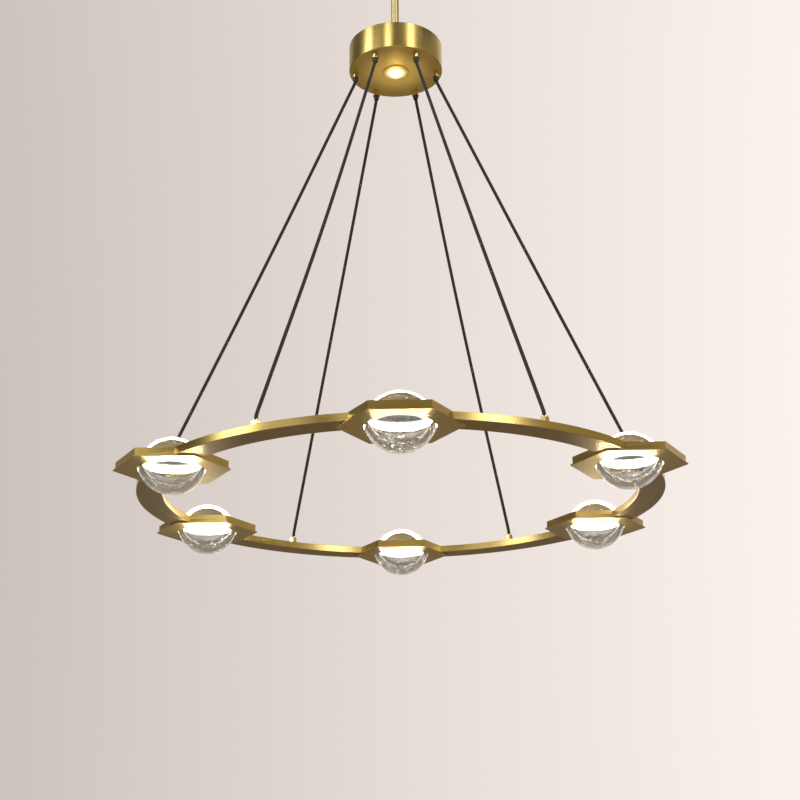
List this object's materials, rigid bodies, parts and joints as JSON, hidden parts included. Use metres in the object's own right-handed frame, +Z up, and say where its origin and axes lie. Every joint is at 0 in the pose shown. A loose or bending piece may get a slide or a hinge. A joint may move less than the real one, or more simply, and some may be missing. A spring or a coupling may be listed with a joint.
{
  "type": "ring chandelier",
  "caption": "Brass ring of hexagonal lamp heads with clear crystal domes above and below, hung by black cables from a drum hub with a spotlight on a swivelling stem.",
  "frame": {"origin": "on the ceiling, at the middle of the ceiling bracket's upper face, between its two bolt holes", "axes": "+Z up, out of the ceiling face, along the stem; the first lamp head is at -Y; +X along the bracket"},
  "size_m": [0.7302, 0.8, 1.0534],
  "materials": {
    "brushed_brass": "brushed, satin lacquer",
    "turned_brass": "turned, bright",
    "bracket_steel": "zinc plated",
    "driver_case": "moulded",
    "heatsink": "bare",
    "light_source": "lit diffuser",
    "spot_glass": "lit clear lens",
    "collar_black": "moulded",
    "cable_black": "braided sleeve",
    "crystal": "clear, fine bubbles"
  },
  "bodies": {
    "ceiling": {"ceiling_bracket": "bracket_steel", "canopy": "brushed_brass", "canopy_nipple": "turned_brass", "swivel_upper_yoke": "brushed_brass"},
    "swivel": {"swivel_cross": "brushed_brass", "swivel_pins": "turned_brass"},
    "hub": {"swivel_lower_yoke": "brushed_brass", "stem": "brushed_brass", "stem_nut": "turned_brass", "hub_shell": "brushed_brass", "hub_base": "brushed_brass", "hub_screws": "turned_brass", "led_driver": "driver_case", "spot_bezel": "brushed_brass", "spot_lens": "spot_glass", "spot_led": "light_source", "spot_heatsink": "heatsink", "hub_cord_grips": "turned_brass", "hub_grip_nuts": "turned_brass", "cord_collars": "collar_black", "cable_1": "cable_black", "cable_2": "cable_black", "cable_3": "cable_black", "cable_4": "cable_black", "cable_5": "cable_black", "cable_6": "cable_black"},
    "ring": {"arc_bar_1": "brushed_brass", "arc_bar_2": "brushed_brass", "arc_bar_3": "brushed_brass", "arc_bar_4": "brushed_brass", "arc_bar_5": "brushed_brass", "arc_bar_6": "brushed_brass", "ring_cord_grips": "turned_brass", "ring_grip_nuts": "turned_brass", "hex_frame_1": "brushed_brass", "hex_frame_2": "brushed_brass", "hex_frame_3": "brushed_brass", "hex_frame_4": "brushed_brass", "hex_frame_5": "brushed_brass", "hex_frame_6": "brushed_brass", "hex_plate_1": "brushed_brass", "hex_plate_2": "brushed_brass", "hex_plate_3": "brushed_brass", "hex_plate_4": "brushed_brass", "hex_plate_5": "brushed_brass", "hex_plate_6": "brushed_brass", "crystal_upper_1": "crystal", "crystal_upper_2": "crystal", "crystal_upper_3": "crystal", "crystal_upper_4": "crystal", "crystal_upper_5": "crystal", "crystal_upper_6": "crystal", "crystal_lower_1": "crystal", "crystal_lower_2": "crystal", "crystal_lower_3": "crystal", "crystal_lower_4": "crystal", "crystal_lower_5": "crystal", "crystal_lower_6": "crystal", "led_rings": "light_source", "plate_screws": "turned_brass"}
  },
  "joints": [
    {"name": "swivel_fore_aft", "type": "hinge", "parent": "ceiling", "child": "swivel", "pos_m": [0, 0, -0.05], "axis": [1, 0, 0], "range_deg": [-20, 20]},
    {"name": "swivel_sideways", "type": "hinge", "parent": "swivel", "child": "hub", "pos_m": [0, 0, -0.05], "axis": [0, 1, 0], "range_deg": [-20, 20]},
    {"name": "ring_twist", "type": "hinge", "parent": "hub", "child": "ring", "pos_m": [0, 0, -0.3384], "axis": [0, 0, 1], "range_deg": [-15, 15], "stiffness_Nm_per_rad": 1.9, "deforming": ["cable_1", "cable_2", "cable_3", "cable_4", "cable_5", "cable_6"]}
  ]
}
